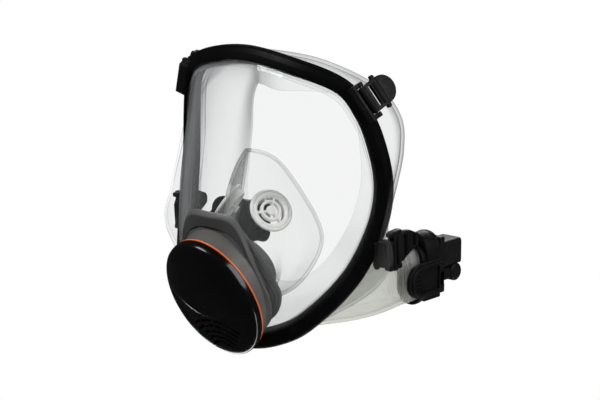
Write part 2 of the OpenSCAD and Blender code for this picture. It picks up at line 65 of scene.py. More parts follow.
def ramp(tree, source, stops):
    n = tree.nodes.new("ShaderNodeValToRGB")
    tree.links.new(source, n.inputs["Fac"])
    els = n.color_ramp.elements
    for i, (at, value) in enumerate(stops):
        e = els[i] if i < 2 else els.new(at)
        e.position = at
        e.color = (*value, 1) if isinstance(value, tuple) else (value, value, value, 1)
    return n


def new_material(name):
    m = bpy.data.materials.new(name)
    m.use_nodes = True
    m.node_tree.nodes.clear()
    return m, m.node_tree, m.node_tree.nodes.new("ShaderNodeOutputMaterial")


def grain(tree, scale, detail):
    coord = tree.nodes.new("ShaderNodeTexCoord")
    n = node(tree, "ShaderNodeTexNoise", Scale=scale, Detail=detail)
    tree.links.new(coord.outputs["Object"], n.inputs["Vector"])
    return n


def maths(tree, operation, *values):
    """Output of a Math node. Each value is a number or another node's output."""
    n = tree.nodes.new("ShaderNodeMath")
    n.operation = operation
    for socket, value in zip(n.inputs, values):
        if isinstance(value, (int, float)):
            socket.default_value = value
        else:
            tree.links.new(value, socket)
    return n.outputs[0]


def clouded(tree, dark, light, scale, detail):
    """Colour that wanders between two tones."""
    cloud = grain(tree, scale, detail)
    return ramp(tree, cloud.outputs["Fac"], [(0.3, dark), (0.7, light)]).outputs["Color"]


def mottled_gloss(tree, shader, low_, high_, scale, detail):
    speck = grain(tree, scale, detail)
    gloss = ramp(tree, speck.outputs["Fac"], [(0.3, low_), (0.7, high_)])
    tree.links.new(gloss.outputs["Color"], shader.inputs["Roughness"])


def roughened(tree, shader, scale, detail, strength, depth):
    sand = grain(tree, scale, detail)
    b = node(tree, "ShaderNodeBump", Strength=strength, Distance=depth)
    tree.links.new(sand.outputs["Fac"], b.inputs["Height"])
    tree.links.new(b.outputs["Normal"], shader.inputs["Normal"])


MOULD_GRAIN, MOULD_DEPTH = 2600.0, 0.0002
SILICONE_GRAIN, SILICONE_DEPTH = 900.0, 0.0003
SHINIEST = 0.02


def plastic(name, color, rough, spread=0.08, tint=0.25, bump=0.05, specular=0.5, coat=0.0, wear=0.0):
    """Moulded plastic or metal: uneven colour and gloss, a fine grain, and edges rubbed lighter by wear."""
    m, t, out = new_material(name)
    p = node(t, "ShaderNodeBsdfPrincipled", Roughness=rough)
    p.inputs["Specular IOR Level"].default_value = specular
    p.inputs["Coat Weight"].default_value = coat
    p.inputs["Coat Roughness"].default_value = 0.08
    dark = tuple(c * (1 - tint) for c in color)
    light = tuple(min(1.0, c * (1 + tint)) for c in color)
    colour = clouded(t, dark, light, 45.0, 3.0)
    if wear:
        geo = t.nodes.new("ShaderNodeNewGeometry")
        edge = ramp(t, geo.outputs["Pointiness"], [(0.5, 0.0), (0.62, 1.0)])
        rub = t.nodes.new("ShaderNodeMix")
        rub.data_type = "RGBA"
        t.links.new(maths(t, "MULTIPLY", edge.outputs["Color"], wear), rub.inputs["Factor"])
        t.links.new(colour, rub.inputs["A"])
        rub.inputs["B"].default_value = (*[min(1.0, c * 2.5 + 0.04) for c in color], 1)
        colour = rub.outputs["Result"]
    t.links.new(colour, p.inputs["Base Color"])
    mottled_gloss(t, p, max(SHINIEST, rough - spread), rough + spread, 260.0, 5.0)
    roughened(t, p, MOULD_GRAIN, 2.0, bump, MOULD_DEPTH)
    t.links.new(p.outputs[0], out.inputs["Surface"])
    return m


def see_through(name, thin, edge_on, body_color, rough, facing_share, edge_share, power=2.2, mirror=0.0, haze=0.0,
                bump=0.0):
    """Clear plastic or silicone: light passes with a tint that deepens edge-on, under a glossy milky skin."""
    m, t, out = new_material(name)
    layer = t.nodes.new("ShaderNodeLayerWeight")
    layer.inputs["Blend"].default_value = 0.5
    bend = maths(t, "POWER", layer.outputs["Facing"], power)
    tint = ramp(t, bend, [(0.0, thin), (1.0, edge_on)])
    clear = t.nodes.new("ShaderNodeBsdfTransparent")
    t.links.new(tint.outputs["Color"], clear.inputs["Color"])
    p = node(t, "ShaderNodeBsdfPrincipled", Roughness=rough)
    t.links.new(clouded(t, tuple(c * 0.94 for c in body_color), body_color, 70.0, 4.0), p.inputs["Base Color"])
    mottled_gloss(t, p, max(SHINIEST, rough - 0.04), rough + 0.06, 300.0, 3.0)
    if bump:
        roughened(t, p, SILICONE_GRAIN, 3.0, bump, SILICONE_DEPTH)
    share = ramp(t, bend, [(0.0, facing_share), (1.0, edge_share)])
    mix = t.nodes.new("ShaderNodeMixShader")
    if haze:
        dust = grain(t, 34.0, 6.0)
        film = ramp(t, dust.outputs["Fac"], [(0.42, 0.0), (0.75, haze)])
        t.links.new(maths(t, "ADD", share.outputs["Color"], film.outputs["Color"]), mix.inputs[0])
    else:
        t.links.new(share.outputs["Color"], mix.inputs[0])
    t.links.new(clear.outputs[0], mix.inputs[1])
    t.links.new(p.outputs[0], mix.inputs[2])
    last = mix.outputs[0]
    if mirror:
        g = node(t, "ShaderNodeBsdfGlossy", Roughness=0.03)
        top = t.nodes.new("ShaderNodeMixShader")
        amount = ramp(t, bend, [(0.0, mirror * 0.12), (1.0, mirror)])
        t.links.new(amount.outputs["Color"], top.inputs[0])
        t.links.new(last, top.inputs[1])
        t.links.new(g.outputs[0], top.inputs[2])
        last = top.outputs[0]
    t.links.new(last, out.inputs["Surface"])
    return m


MAT = {
    "clear_visor": see_through("clear polycarbonate", (0.99, 0.992, 0.992), (0.62, 0.64, 0.65), (0.85, 0.87, 0.88),
                               0.12, 0.004, 0.34, power=2.6, mirror=0.35, haze=0.012),
    "clear_silicone": see_through("clear silicone", (0.966, 0.968, 0.968), (0.5, 0.505, 0.505), (0.72, 0.73, 0.73),
                                  0.32, 0.01, 0.07, power=2.1, bump=0.04),
    "cup_silicone": see_through("clear cup silicone", (0.975, 0.977, 0.977), (0.42, 0.425, 0.425), (0.68, 0.69, 0.69),
                                0.28, 0.03, 0.5, power=2.1, bump=0.03),
    "duct_silicone": see_through("milky duct silicone", (0.96, 0.965, 0.945), (0.55, 0.55, 0.53), (0.88, 0.89, 0.85),
                                 0.38, 0.22, 0.6, power=1.9, bump=0.05),
    "frame_black": plastic("gloss black frame", (0.0025, 0.0025, 0.0025), 0.42, spread=0.06, specular=0.07,
                           bump=0.02, wear=0.05),
    "fitting_black": plastic("satin black moulding", (0.0045, 0.0045, 0.0047), 0.46, specular=0.15, bump=0.09,
                             wear=0.12),
    "housing_grey": plastic("satin grey moulding", (0.095, 0.095, 0.095), 0.5, specular=0.3, bump=0.08, wear=0.2,
                            tint=0.1),
    "panel_grey": plastic("dark grey panel", (0.05, 0.05, 0.051), 0.5, specular=0.2, bump=0.05, wear=0.1, tint=0.08),
    "ring_grey": plastic("grey locking ring", (0.14, 0.14, 0.14), 0.5, specular=0.3, bump=0.08, wear=0.25, tint=0.12),
    "collar_grey": plastic("warm grey collar", (0.105, 0.103, 0.098), 0.42, specular=0.35, bump=0.05, wear=0.2,
                           tint=0.12),
    "accent_orange": plastic("orange ring", (0.78, 0.16, 0.04), 0.35, specular=0.4, bump=0.03, tint=0.08, wear=0.1),
    "cover_black": plastic("gloss black cover", (0.0025, 0.0025, 0.0028), 0.2, spread=0.05, specular=0.3, bump=0.012,
                           coat=0.25, wear=0.03),
    "valve_white": plastic("white valve moulding", (0.92, 0.92, 0.9), 0.4, specular=0.4, bump=0.03, tint=0.03),
    "steel": plastic("ground steel", (0.55, 0.55, 0.56), 0.3, bump=0.1, tint=0.1),
    "gasket_black": plastic("black rubber gasket", (0.02, 0.02, 0.02), 0.6, specular=0.2, bump=0.1, tint=0.2),
}
MAT["steel"].node_tree.nodes["Principled BSDF"].inputs["Metallic"].default_value = 1.0

# ------------------------------------------------------------- shared geometry (millimetres)
BROW_Z, BROW_DEPTH, NOSE_DEPTH = 93.0, 45.0, 39.0
VISOR_T, SEAL_T = 2.2, 2.2
NOSE_Z, CHIN_RUN, CURL_Z = -23.0, 82.0, -17.0
CURL, CURL_UP, CURL_DOWN = 0.0099, 3.7e-7, 8e-7
AROUND = 240


def nose_line(z):
    up = -NOSE_DEPTH * np.sin(np.radians(90 * (BROW_Z + 2 - z) / (BROW_Z + 2 - NOSE_Z)))
    down = -NOSE_DEPTH * np.cos(np.radians(90 * (NOSE_Z - z) / CHIN_RUN))
    return np.where(z > NOSE_Z, up, down)


def visor_y(x, z):
    curl = CURL - np.where(z > CURL_Z, CURL_UP, CURL_DOWN) * (z - CURL_Z) ** 2
    return nose_line(z) - BROW_DEPTH + curl * x * x


def visor_points(q):
    return np.stack([q[:, 0], visor_y(q[:, 0], q[:, 1]), q[:, 1]], 1)


def unit(v):
    return v / np.maximum(np.linalg.norm(v, axis=-1, keepdims=True), 1e-9)


def visor_normals(q, d=0.5):
    x, z = q[:, 0], q[:, 1]
    return unit(np.stack([visor_y(x + d, z) - visor_y(x - d, z), np.full(len(q), -2 * d),
                          visor_y(x, z + d) - visor_y(x, z - d)], 1))


def catmull(a, b, c, d, t):
    return 0.5 * (2 * b + (c - a) * t + (2 * a - 5 * b + 4 * c - d) * t ** 2 + (3 * b - a - 3 * c + d) * t ** 3)


def both_sides(half):
    half = np.array(half, float)
    back = half[-2:0:-1].copy()
    back[:, 0] *= -1
    return np.vstack([half, back])


def closed_loop(half, steps=AROUND):
    """Smooth closed loop through a half outline and its mirror image."""
    p = both_sides(half)
    s = np.arange(steps) * len(p) / steps
    i = np.floor(s).astype(int)
    t = (s - i)[:, None]
    n = len(p)
    return catmull(p[(i - 1) % n], p[i % n], p[(i + 1) % n], p[(i + 2) % n], t)


def open_curve(p, s):
    """Points of a smooth open curve through p (rows of any shape) at parameters s, in steps of p."""
    p = np.asarray(p, float)
    n = len(p) - 1
    out = []
    for v in np.atleast_1d(s):
        i = min(int(math.floor(v)), n - 1)
        t = v - i
        out.append(catmull(p[max(i - 1, 0)], p[i], p[i + 1], p[min(i + 2, n)], t))
    return np.array(out)


RIM_HALF = [(0, BROW_Z), (34, 88), (62, 77), (75, 58), (82, 34), (85, 8), (82.5, -19), (74, -47), (58, -70),
            (36, -87), (0, -97)]
HOOD_HALF = [(0, -5), (12, -5), (19, -8), (24.5, -17), (30, -34), (33.5, -50), (34.5, -62), (31, -75), (23, -84),
             (12, -89), (0, -91)]
LOCK_HALF = [(0, -11), (10, -11), (17, -13), (25, -21), (33, -36), (38.5, -52), (39.5, -62), (35, -73), (25, -82),
             (12, -87.5), (0, -89)]
HOOD_MID = np.array([0.0, -48.0])
RIM = closed_loop(RIM_HALF)


def travel(outline):
    """Stations along an outline on the visor: (points, inward directions, outward normals)."""
    p = visor_points(outline)
    nrm = visor_normals(outline)
    along = unit(np.roll(p, -1, 0) - np.roll(p, 1, 0))
    return p, np.cross(along, nrm), nrm


def shift(stations, inward, outward):
    p, a, n = stations
    inward = np.reshape(inward, (-1, 1)) if np.ndim(inward) else inward
    outward = np.reshape(outward, (-1, 1)) if np.ndim(outward) else outward
    return p + a * inward + n * outward


def rounded(points, radius, segments=4):
    """Closed polygon with its corners rounded. radius may be one number or one for each corner."""
    p = np.array(points, float)
    n = len(p)
    radii = np.broadcast_to(radius, (n,))
    out = []
    for i in range(n):
        a, b, c = p[i - 1], p[i], p[(i + 1) % n]
        u, v = a - b, c - b
        lu, lv = np.linalg.norm(u), np.linalg.norm(v)
        if radii[i] <= 0 or lu < 1e-6 or lv < 1e-6:
            out.append(b)
            continue
        u, v = u / lu, v / lv
        cos = float(np.clip(np.dot(u, v), -1, 1))
        half = math.acos(cos) / 2
        if half > math.radians(88):
            out.append(b)
            continue
        cut = min(radii[i] / math.tan(half), 0.48 * lu, 0.48 * lv)
        for k in range(segments + 1):
            t = k / segments
            out.append((1 - t) ** 2 * (b + u * cut) + 2 * t * (1 - t) * b + t ** 2 * (b + v * cut))
    return np.array(out)


class Shape:
    """Vertices in millimetres and faces, gathered from several parts."""

    def __init__(self):
        self.v, self.f = [], []
        self.n = 0

    def add(self, verts, faces):
        verts = np.asarray(verts, float).reshape(-1, 3)
        self.v.append(verts)
        self.f += [tuple(int(i) + self.n for i in f) for f in faces]
        self.n += len(verts)
        return self

    def skin(self, loops, close=False, caps=(True, True)):
        """Quads between loops of equal length. close joins the last to the first; caps fill the two ends."""
        loops = [np.asarray(l, float) for l in loops]
        m, n = len(loops), len(loops[0])
        faces = []
        for j in range(m if close else m - 1):
            k = (j + 1) % m
            for i in range(n):
                e = (i + 1) % n
                faces.append((j * n + i, j * n + e, k * n + e, k * n + i))
        if not close:
            if caps[0]:
                faces.append(tuple(range(n - 1, -1, -1)))
            if caps[1]:
                faces.append(tuple((m - 1) * n + i for i in range(n)))
        return self.add(np.vstack(loops), faces)

    def moved(self, matrix):
        self.v = [v @ matrix[:3, :3].T + matrix[:3, 3] for v in self.v]
        if np.linalg.det(matrix[:3, :3]) < 0:
            self.f = [tuple(reversed(f)) for f in self.f]
        return self

    def joined(self, other):
        return self.add(np.vstack(other.v), other.f)

    def mesh(self, name):
        me = bpy.data.meshes.new(name)
        me.from_pydata((np.vstack(self.v) / 1000).tolist(), [], self.f)
        me.validate()
        return me


def make(name, shape, material, body="mask", replaces=(), sharp=40.0, cut=(), join=(), extra=None):
    """Turns a Shape into a finished piece on a body. cut and join are Shapes taken off or fused on by booleans,
    and extra is added as it is."""
    me = shape.mesh(name)
    o = bpy.data.objects.new(name, me)
    bpy.context.scene.collection.objects.link(o)
    tools = []
    for kind, group in (("UNION", join), ("DIFFERENCE", cut)):
        for k, s in enumerate(group):
            tool = bpy.data.objects.new(f"{name}_{kind}_{k}", s.mesh("tool"))
            bpy.context.scene.collection.objects.link(tool)
            tools.append(tool)
            b = o.modifiers.new(f"{kind}{k}", "BOOLEAN")
            b.operation = kind
            b.solver = "EXACT"
            b.object = tool
    depsgraph = bpy.context.evaluated_depsgraph_get()
    if o.modifiers:
        done = bpy.data.meshes.new_from_object(o.evaluated_get(depsgraph))
        o.modifiers.clear()
        o.data = done
        done.name = name
    for tool in tools:
        bpy.data.objects.remove(tool)
    if extra is not None:
        more = bmesh.new()
        more.from_mesh(o.data)
        more.from_mesh(extra.mesh("extra"))
        more.to_mesh(o.data)
        more.free()
    for p in o.data.polygons:
        p.use_smooth = True
    o.data.set_sharp_from_angle(angle=math.radians(sharp))
    o.data.materials.clear()
    o.data.materials.append(material)
    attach(o, body)
    if replaces:
        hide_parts(*replaces)
    return o


def turned(x, y, z):
    """Rotation about X, then Y, then Z, in degrees, as a 3 by 3 array."""
    out = np.eye(3)
    for angle, axis in ((x, "X"), (y, "Y"), (z, "Z")):
        out = np.array(Matrix.Rotation(math.radians(angle), 3, axis)) @ out
    return out


def pose(at, rotation, side="left"):
    m = np.eye(4)
    m[:3, :3] = rotation
    m[:3, 3] = at
    if side == "right":
        m = np.diag([-1.0, 1, 1, 1]) @ m
    return m


COVER_AT = (0, -80.6, -62.8)
SEAT_AT = (17.5, -45, -9)
CONNECTOR_AT = (84, 22, -52.5)
UPPER_AT = (80, -21, 68.5)
LOWER_AT = (92.3, -6, -29)
ON_MODULE = pose(COVER_AT, turned(116, 0, 0))
ON_SEAT = {s: pose(SEAT_AT, turned(0, 0, -22.7) @ turned(0, 56.1, 0), s) for s in SIDES}
ON_CONNECTOR = {s: pose(CONNECTOR_AT, turned(90, 0, 180), s) for s in SIDES}
ON_UPPER = {s: pose(UPPER_AT, turned(65.9, -24.1, 83.15), s) for s in SIDES}
ON_LOWER = {s: pose(LOWER_AT, turned(90, -4, 90), s) for s in SIDES}
MIRROR = np.diag([-1.0, 1, 1, 1])


def prism(outline, z0, z1, r=0.4, segments=3):
    """Upright prism on a plane outline with its top and bottom edges rounded."""
    p = np.array(outline, float)
    area = 0.5 * np.sum(p[:, 0] * np.roll(p[:, 1], -1) - np.roll(p[:, 0], -1) * p[:, 1])
    if area < 0:
        p = p[::-1]
    ahead, behind = np.roll(p, -1, 0) - p, p - np.roll(p, 1, 0)
    na = unit(np.stack([ahead[:, 1], -ahead[:, 0]], 1))
    nb = unit(np.stack([behind[:, 1], -behind[:, 0]], 1))
    n = na + nb
    n = n / np.maximum((n * na).sum(1, keepdims=True), 0.35)
    loops = []
    r = min(r, 0.45 * (z1 - z0))
    for k in range(segments + 1):
        t = math.pi / 2 * k / segments
        loops.append((r * (1 - math.sin(t)), z0 + r * (1 - math.cos(t))))
    for k in range(segments + 1):
        t = math.pi / 2 * k / segments
        loops.append((r * (1 - math.cos(t)), z1 - r * (1 - math.sin(t))))
    rings = [np.column_stack([p - n * inset, np.full(len(p), z)]) for inset, z in loops]
    return Shape().skin(rings)


def box_outline(x0, x1, y0, y1, r=1.0, segments=4):
    return rounded([(x0, y0), (x1, y0), (x1, y1), (x0, y1)], r, segments)


def block(x0, x1, y0, y1, z0, z1, corner=1.0, edge=0.5):
    return prism(box_outline(x0, x1, y0, y1, corner), z0, z1, edge)


def disc_outline(r, n):
    t = np.arange(n) * TAU / n
    return np.column_stack([r * np.cos(t), r * np.sin(t)])


def lathe(profile, n=64):
    """Closed (radius, height) profile turned about z."""
    loops = []
    for t in np.arange(n) * TAU / n:
        loops.append([(r * math.cos(t), r * math.sin(t), z) for r, z in profile])
    return Shape().skin(loops, close=True)


def swept_ring(stations, section):
    """Ring with a closed (inward, outward) section that travels along stations on the visor."""
    return Shape().skin([shift(stations, a, b) for a, b in section], close=True)


def rod(a, b, r, n=32, edge=0.3):
    """Round bar from a to b with rounded ends."""
    a, b = np.array(a, float), np.array(b, float)
    z = unit(b - a)
    x = unit(np.cross(z, [0, 0, 1] if abs(z[2]) < 0.9 else [1, 0, 0]))
    y = np.cross(z, x)
    length = float(np.linalg.norm(b - a))
    s = prism(disc_outline(r, n), 0, length, edge)
    m = np.eye(4)
    m[:3, 0], m[:3, 1], m[:3, 2], m[:3, 3] = x, y, z, a
    return s.moved(m)


# ------------------------------------------------------------------ visor and frame
hood = closed_loop(HOOD_HALF)
port_hole = HOOD_MID + (hood - HOOD_MID) * 0.86


def sheet_between(inner, outer, rings, thickness):
    """Curved sheet on the visor surface from one outline to another."""
    front, back = [], []
    for j in range(rings + 1):
        q = inner + (outer - inner) * j / rings
        p, n = visor_points(q), visor_normals(q)
        front.append(p)
        back.append(p - n * thickness)
    loops = front + back[::-1]
    return Shape().skin(loops, close=True)


make("visor_shell", sheet_between(port_hole, RIM, 26, VISOR_T), MAT["clear_visor"],
     replaces=("visor_lens",))
rim_stations = travel(RIM)
# A moulded border step and a fine bead run round the visor just inside the frame
border = rounded([(5.2, -0.05), (9.6, -0.05), (9.2, 0.75), (6.0, 0.75), (5.2, 0.5)], 0.25, 3)
make("visor_border", swept_ring(rim_stations, border), MAT["clear_visor"])
inner_bead = rounded([(5.4, -VISOR_T - 1.7), (7.2, -VISOR_T - 1.5), (7.2, -VISOR_T + 0.05), (5.4, -VISOR_T + 0.05)],
                     0.3, 3)
make("visor_inner_bead", swept_ring(rim_stations, inner_bead), MAT["cup_silicone"])

frame_section = rounded([(4.6, 3.5), (1.0, 4.2), (-2.6, 4.0), (-3.0, 3.55), (-3.5, 3.9), (-5.5, 2.4), (-5.5, -5.8),
                         (-4.4, -7.0), (4.5, -7.0), (5.5, -5.9), (5.5, 2.6)],
                        [1.0, 1.5, 0.3, 0.2, 0.3, 1.6, 1.0, 1.0, 1.0, 1.0, 1.0], 4)
make("rim_frame", swept_ring(rim_stations, frame_section), MAT["frame_black"],
     replaces=("visor_frame",))

# ------------------------------------------------------------------ face seal
SEAL_CREST = [(0, -34, 95), (34, -16, 89.5), (64, 5, 73), (85, 4, 55), (93, -4, 34), (94, -13, 8), (94.5, -20, -14),
              (99, -21, -36), (80, -24, -60), (42, -37, -82), (0, -39, -89)]
SEAL_FOLD = [(0, -15, 87), (29, -2, 83), (52, 17, 67), (65, 23, 50), (71, 22, 30), (72, 16, 8), (71, 5, -13),
             (69, -6, -34), (54, -8, -54), (30, -15, -69), (0, -18, -76)]
SEAL_LIP = [(0, -14, 65), (22, -7, 66), (36, 5, 62), (44, 10, 50), (47, 12, 28), (49, 11, 7), (47, 7, -12),
            (40, 2, -32), (29, -3, -49), (16, -8, -61), (0, -10, -66)]


def thick_grid(grid, thickness, taper=None):
    """Closed wall behind a grid of loops: it grows against the grid's normals, with a rounded free edge."""
    g = np.array(grid)
    m = len(g)
    across = np.roll(g, -1, 1) - np.roll(g, 1, 1)
    down = np.empty_like(g)
    down[1:-1] = g[2:] - g[:-2]
    down[0], down[-1] = g[1] - g[0], g[-1] - g[-2]
    n = unit(np.cross(across, down))
    t = np.full(m, thickness) if taper is None else np.array(taper)
    back = g - n * t[:, None, None]
    edge = g[-1] + unit(g[-1] - g[-2]) * t[-1] * 0.45 - n[-1] * t[-1] * 0.5
    loops = list(g) + [edge] + list(back[::-1])
    return Shape().skin(loops, close=True)


def seal_rows(rows=44):
    root = shift(rim_stations, -2.1, -4.2)
    collar = shift(rim_stations, -2.1, -8.5)
    col = np.array([root, collar, closed_loop(SEAL_CREST), closed_loop(SEAL_FOLD), closed_loop(SEAL_LIP)])
    s = np.linspace(0, 4, rows + 1)
    return s, open_curve(col, s)


seal_s, seal_grid = seal_rows()
# A raised bead runs round the skirt, and the lip thins to a soft edge
across = np.roll(seal_grid, -1, 1) - np.roll(seal_grid, 1, 1)
down = np.gradient(seal_grid, axis=0)
seal_normal = unit(np.cross(across, down))
bead = 0.9 * np.exp(-((seal_s - 1.42) / 0.055) ** 2) + 0.6 * np.exp(-((seal_s - 2.05) / 0.05) ** 2)
seal_grid = seal_grid + seal_normal * bead[:, None, None]
seal_taper = np.interp(seal_s, [0, 3.2, 4], [SEAL_T, SEAL_T, 1.0])
make("seal_skin", thick_grid(seal_grid, SEAL_T, seal_taper), MAT["clear_silicone"],
     replaces=("face_seal",))

# ------------------------------------------------------------------ oronasal cup
CUP_LIP = [(0, -43, 29), (8, -38, 27), (15, -31, 20), (25, -23, 2), (34, -17, -17), (38, -17, -31), (34, -22, -47),
           (22, -28, -63), (0, -32, -72)]
CUP_CHEEK = [(0, -50, 20), (7, -47, 19), (14, -43, 11), (23, -36, -4), (30, -31, -20), (33, -31, -32),
             (30, -33, -46), (19, -35, -60), (0, -37, -70)]
CUP_FRONT = [(0, -57, 4), (6, -55, 3), (12, -52, -1), (19, -47, -11), (24, -43, -23), (26, -41, -34), (24, -40, -46),
             (16, -39, -58), (0, -38, -68)]
CUP_STEPS = 192
PORT_R, PORT_BACK = 21.0, -40.0
SEAT_R = 14.6


def oval(a, b, z, steps=AROUND):
    t = np.arange(steps) * TAU / steps
    return np.column_stack([a * np.sin(t), b * np.cos(t), np.broadcast_to(z, (steps,))])


def from_module(loop):
    return np.asarray(loop) @ ON_MODULE[:3, :3].T + ON_MODULE[:3, 3]


cup_rows = np.array([closed_loop(CUP_LIP, CUP_STEPS), closed_loop(CUP_CHEEK, CUP_STEPS),
                     closed_loop(CUP_FRONT, CUP_STEPS),
                     from_module(oval(PORT_R + 2.4, PORT_R + 2.4, PORT_BACK + 6, CUP_STEPS)),
                     from_module(oval(PORT_R + 2.4, PORT_R + 2.4, PORT_BACK + 13, CUP_STEPS))])
cup_grid = open_curve(cup_rows, np.linspace(0, 4, 41))
seat_cutters = [Shape().joined(prism(disc_outline(SEAT_R - 2.8, 40), -12, 12, 0.2)).moved(ON_SEAT[s]) for s in SIDES]
make("cup_skin", thick_grid(cup_grid[::-1], -2.0), MAT["cup_silicone"],
     replaces=("oronasal_cup",), cut=seat_cutters)
# The cup's rolled face edge
lip_loop = closed_loop(CUP_LIP, CUP_STEPS)


def tube(path, radius, n=16):
    """Closed tube along a closed path."""
    p = np.array(path)
    along = unit(np.roll(p, -1, 0) - np.roll(p, 1, 0))
    side = unit(np.cross(along, np.array([0.0, 1.0, 0.0])))
    up = np.cross(side, along)
    loops = []
    for k in range(n):
        t = TAU * k / n
        loops.append(p + side * radius * math.cos(t) + up * radius * math.sin(t))
    return Shape().skin(loops, close=True)


make("cup_rolled_edge", tube(lip_loop, 1.25), MAT["cup_silicone"])

# ------------------------------------------------------------------ inhalation valves
for side in SIDES:
    rim_profile = rounded([(9.5, -3.5), (SEAT_R - 3, -3.5), (SEAT_R - 3, 1.2), (SEAT_R, 1.2), (SEAT_R, 2.7),
                           (SEAT_R - 0.8, 3.2), (13.0, 3.2), (12.7, 2.5), (12.2, 2.5), (11.9, 3.2), (10.7, 3.2),
                           (9.5, 2.0)], [0.2, 0.2, 0.3, 0.3, 0.4, 0.3, 0.1, 0.1, 0.1, 0.1, 0.3, 0.4], 3)
    seat = lathe(rim_profile, 96)
    seat.joined(lathe(rounded([(5.4, 0), (7.2, 0), (7.2, 2.6), (6.9, 3.0), (5.7, 3.0), (5.4, 2.6)], 0.2, 3), 72))
    seat.joined(lathe(rounded([(0.05, -6.5), (2.6, -6.5), (2.6, -5.5), (1.5, -5.3), (1.5, 1.6), (3.4, 1.8),
                               (3.2, 2.6), (0.05, 2.9)], 0.25, 3), 48))
    for k in range(3):
        spoke = block(1.0, 10.0, -0.8, 0.8, 0.1, 1.9, 0.2, 0.2)
        m = np.eye(4)
        m[:3, :3] = turned(0, 0, 30 + 120 * k)
        seat.joined(spoke.moved(m))
    make(f"valve_seat_{side}", seat.moved(ON_SEAT[side]), MAT["valve_white"],
         replaces=(f"inhalation_valve_seat_{side}",))
    disc = lathe(rounded([(1.56, -1.2), (8.6, -1.3), (9.0, -0.95), (9.0, -0.5), (1.56, -0.4)], 0.2, 3), 72)
    make(f"valve_flap_{side}", disc.moved(ON_SEAT[side]), MAT["cup_silicone"],
         body=f"inhalation_disc_{side}", replaces=(f"inhalation_valve_disc_{side}",))

# ------------------------------------------------------------------ front module
COVER_A, COVER_B, COVER_RISE = 35.5, 45.0, 9.0
MOUTH_Z, MOUTH_SWING = -11.75, 5.25
hood_stations = travel(hood)
share = 0.5 + 0.5 * np.cos(np.arange(AROUND) * TAU / AROUND)


def mouth_loop(inset, lift=0.0):
    t = np.arange(AROUND) * TAU / AROUND
    return from_module(np.column_stack([(COVER_A - inset) * np.sin(t), (COVER_B - inset) * np.cos(t),
                                        MOUTH_Z - MOUTH_SWING * np.cos(t) + lift]))


def between(a, b, k):
    return a + (b - a) * k


foot = shift(hood_stations, 0, 0.3)
shoulder = shift(hood_stations, 2 * share, 1 + 3.2 * share)
brow = shift(hood_stations, 0.5 * share, 0.6 + 2.6 * share)
edge = shift(hood_stations, 3.0 * share, 1 + 3.3 * share)
mouth = mouth_loop(2.6)
mouth_in = mouth_loop(5.2)
shoulder_in = shift(hood_stations, 5 - share, 3.4 - 1.8 * share)
foot_in = shift(hood_stations, 4, 0.3)
hood_shape = Shape().skin([foot, brow, shoulder, edge, between(edge, mouth, 0.33), between(edge, mouth, 0.66),
                           between(edge, mouth, 0.96), mouth, mouth_in, shoulder_in, foot_in], close=True)
make("module_housing", hood_shape, MAT["housing_grey"], replaces=("front_housing",), sharp=30)
# A darker blank panel on the housing's brow
PANEL_REACH, PANEL_LIFT = 39, 0.45
columns = np.arange(-PANEL_REACH, PANEL_REACH + 1) % AROUND
panel_loops = []
for k in np.linspace(0.06, 0.7, 9):
    row = between(edge, mouth, k)[columns]
    panel_loops.append(np.vstack([row + ON_MODULE[:3, 2] * PANEL_LIFT, (row - ON_MODULE[:3, 2] * PANEL_LIFT)[::-1]]))
make("module_panel", Shape().skin(panel_loops), MAT["panel_grey"], sharp=30)
make("module_gasket", swept_ring(travel(port_hole), rounded([(-3, -3.8), (1.6, -3.8), (1.6, 0.8), (-0.2, 0.8),
     (-0.2, -2.5), (-3, -2.5)], 0.2, 2)), MAT["gasket_black"], replaces=("lens_gasket",))
lock_stations = travel(closed_loop(LOCK_HALF))
lock_section = rounded([(0, -8.4), (7, -8.4), (7, -4.4), (5.2, -4.4), (4.9, -5.0), (4.4, -4.4), (2.6, -4.4),
                        (2.3, -5.0), (1.8, -4.4), (0, -4.4)], 0.25, 2)
make("locking_ring", swept_ring(lock_stations, lock_section), MAT["ring_grey"],
     replaces=("inner_lock_ring",))
collar_front = -4.8


def collar_loop(inset, z):
    return from_module(oval(COVER_A - inset, COVER_B - inset, z))


collar_loops = [mouth_loop(1.6, 0.3), between(mouth_loop(1.6, 0.3), collar_loop(1.6, collar_front), 0.5),
                collar_loop(1.6, collar_front - 0.5), collar_loop(2.1, collar_front),
                collar_loop(4.6, collar_front), mouth_loop(4.6, 0.3)]
make("module_collar", Shape().skin(collar_loops, close=True), MAT["collar_grey"],
     replaces=("housing_collar",), sharp=30)


def oval_ring(a, b, section):
    """Ring round the module with a closed (outward, z) section."""
    return Shape().skin([from_module(oval(a + u, b + u, z)) for u, z in section], close=True)


orange_section = rounded([(-2.5, -4.5), (0, -4.5), (0, -3.3), (-2.5, -3.3)], 0.35, 3)
make("orange_ring", oval_ring(COVER_A - 0.4, COVER_B - 0.4, orange_section), MAT["accent_orange"],
     replaces=("accent_ring",))

RADIAL, SPOKES = 56, 192


